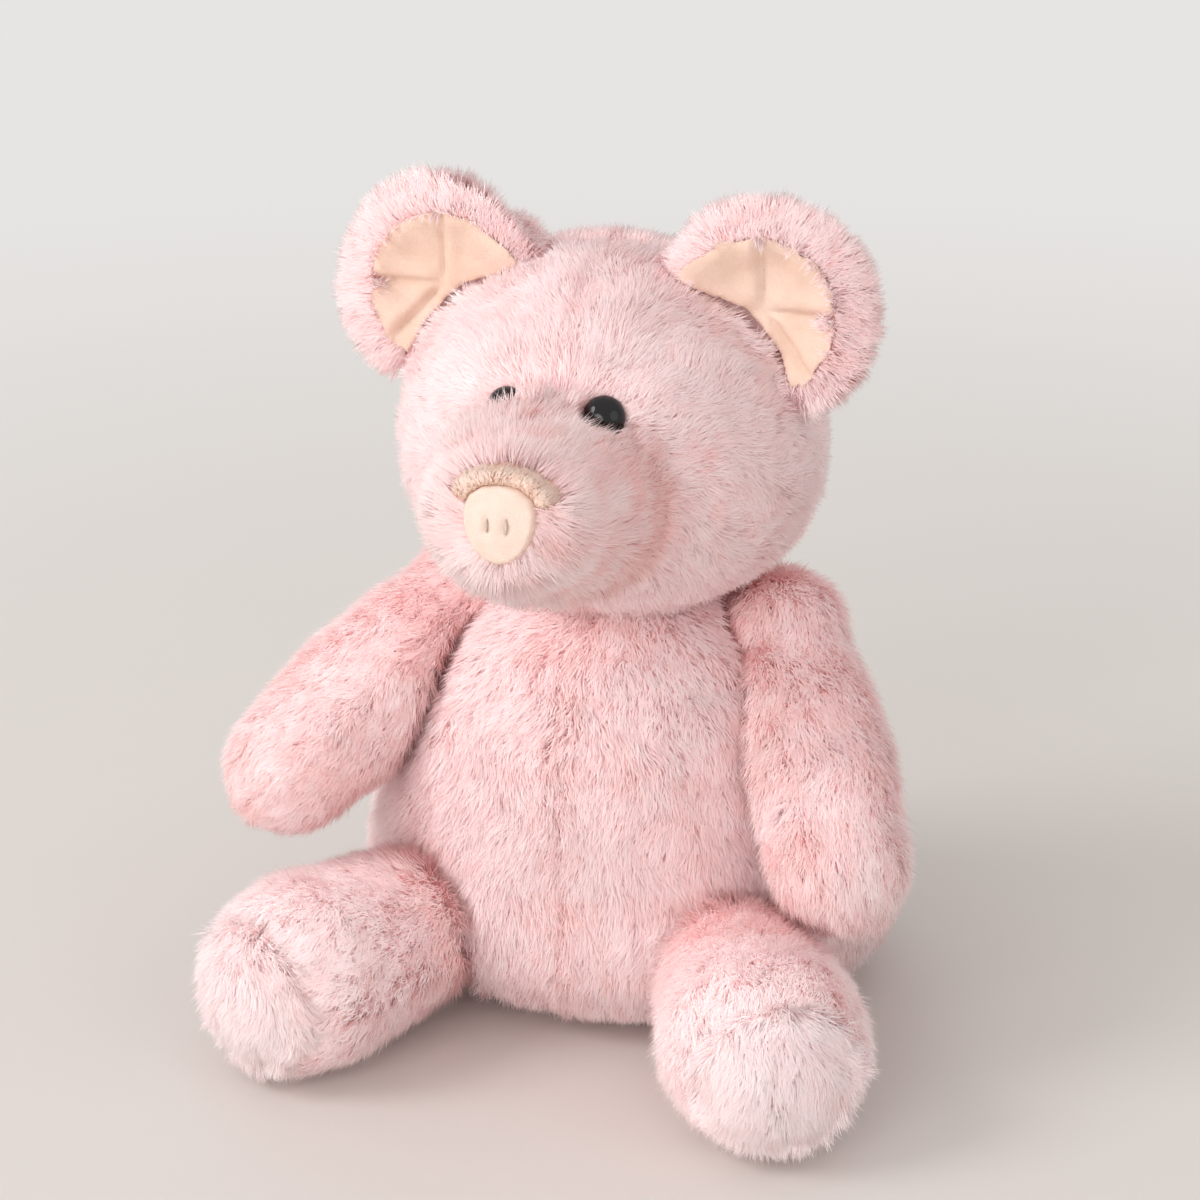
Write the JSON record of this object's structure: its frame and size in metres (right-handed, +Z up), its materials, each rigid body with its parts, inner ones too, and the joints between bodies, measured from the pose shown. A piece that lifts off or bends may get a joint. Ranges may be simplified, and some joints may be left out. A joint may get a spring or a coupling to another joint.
{
  "type": "plush pig",
  "caption": "Sitting plush pig with a round head, cupped ears, long muzzle, outstretched legs and hinged limbs.",
  "frame": {"origin": "centre of the bounding box's bottom face, on the table the toy sits on", "axes": "+Z up, -Y the way the toy faces, +X towards the toy's own left"},
  "size_m": [0.277, 0.2926, 0.3427],
  "materials": {
    "pile_fabric": "long soft pile",
    "sole_fabric": "long soft pile",
    "ear_velour": "short velour",
    "snout_velour": "short velour",
    "band_velour": "short velour, nap brushed back",
    "thread": "matte thread",
    "eye_plastic": "polished",
    "washer_plastic": "matte",
    "stuffing": "loose fibre",
    "pellet_cloth": "plain cotton"
  },
  "bodies": {
    "torso": {"belly_left": "pile_fabric", "belly_right": "pile_fabric", "back_left": "pile_fabric", "back_right": "pile_fabric", "pellet_pouch": "pellet_cloth", "torso_stuffing": "stuffing", "tail": "pile_fabric"},
    "head": {"face_left": "pile_fabric", "face_right": "pile_fabric", "head_back_left": "pile_fabric", "head_back_right": "pile_fabric", "head_stuffing": "stuffing", "muzzle": "pile_fabric", "snout_band": "band_velour", "snout_pad": "snout_velour", "nostril_left": "thread", "nostril_right": "thread", "eye_left": "eye_plastic", "eye_right": "eye_plastic", "eye_washer_left": "washer_plastic", "eye_washer_right": "washer_plastic"},
    "arm_left": {"arm_left_outer": "pile_fabric", "arm_left_inner": "pile_fabric", "arm_left_stuffing": "stuffing"},
    "arm_right": {"arm_right_outer": "pile_fabric", "arm_right_inner": "pile_fabric", "arm_right_stuffing": "stuffing"},
    "leg_left": {"leg_left_top": "pile_fabric", "leg_left_under": "pile_fabric", "leg_left_sole": "sole_fabric", "leg_left_stuffing": "stuffing"},
    "leg_right": {"leg_right_top": "pile_fabric", "leg_right_under": "pile_fabric", "leg_right_sole": "sole_fabric", "leg_right_stuffing": "stuffing"},
    "ear_left": {"ear_left": "pile_fabric", "ear_lining_left": "ear_velour"},
    "ear_right": {"ear_right": "pile_fabric", "ear_lining_right": "ear_velour"}
  },
  "joints": [
    {"name": "neck_turn", "type": "hinge", "parent": "torso", "child": "head", "pos_m": [0.00292, 0.00693, 0.171], "axis": [0, 0, 1], "range_deg": [-20, 20]},
    {"name": "shoulder_left", "type": "hinge", "parent": "torso", "child": "arm_left", "pos_m": [0.06892, 0.01493, 0.158], "axis": [-0.8387, 0, -0.5446], "range_deg": [-15, 30]},
    {"name": "shoulder_right", "type": "hinge", "parent": "torso", "child": "arm_right", "pos_m": [-0.06308, 0.01493, 0.158], "axis": [-0.7193, 0, 0.6947], "range_deg": [-15, 30]},
    {"name": "hip_left", "type": "hinge", "parent": "torso", "child": "leg_left", "pos_m": [0.05892, -0.02907, 0.0395], "axis": [-0.8988, -0.4384, 0], "range_deg": [-20, 3]},
    {"name": "hip_right", "type": "hinge", "parent": "torso", "child": "leg_right", "pos_m": [-0.05308, -0.02907, 0.0395], "axis": [-0.8988, 0.4384, 0], "range_deg": [-20, 3]},
    {"name": "ear_left_flop", "type": "hinge", "parent": "head", "child": "ear_left", "pos_m": [0.05354, -0.01107, 0.28943], "axis": [0.5592, 0, -0.829], "range_deg": [-15, 15]},
    {"name": "ear_right_flop", "type": "hinge", "parent": "head", "child": "ear_right", "pos_m": [-0.0477, -0.01107, 0.28943], "axis": [0.5592, 0, 0.829], "range_deg": [-15, 15]}
  ]
}
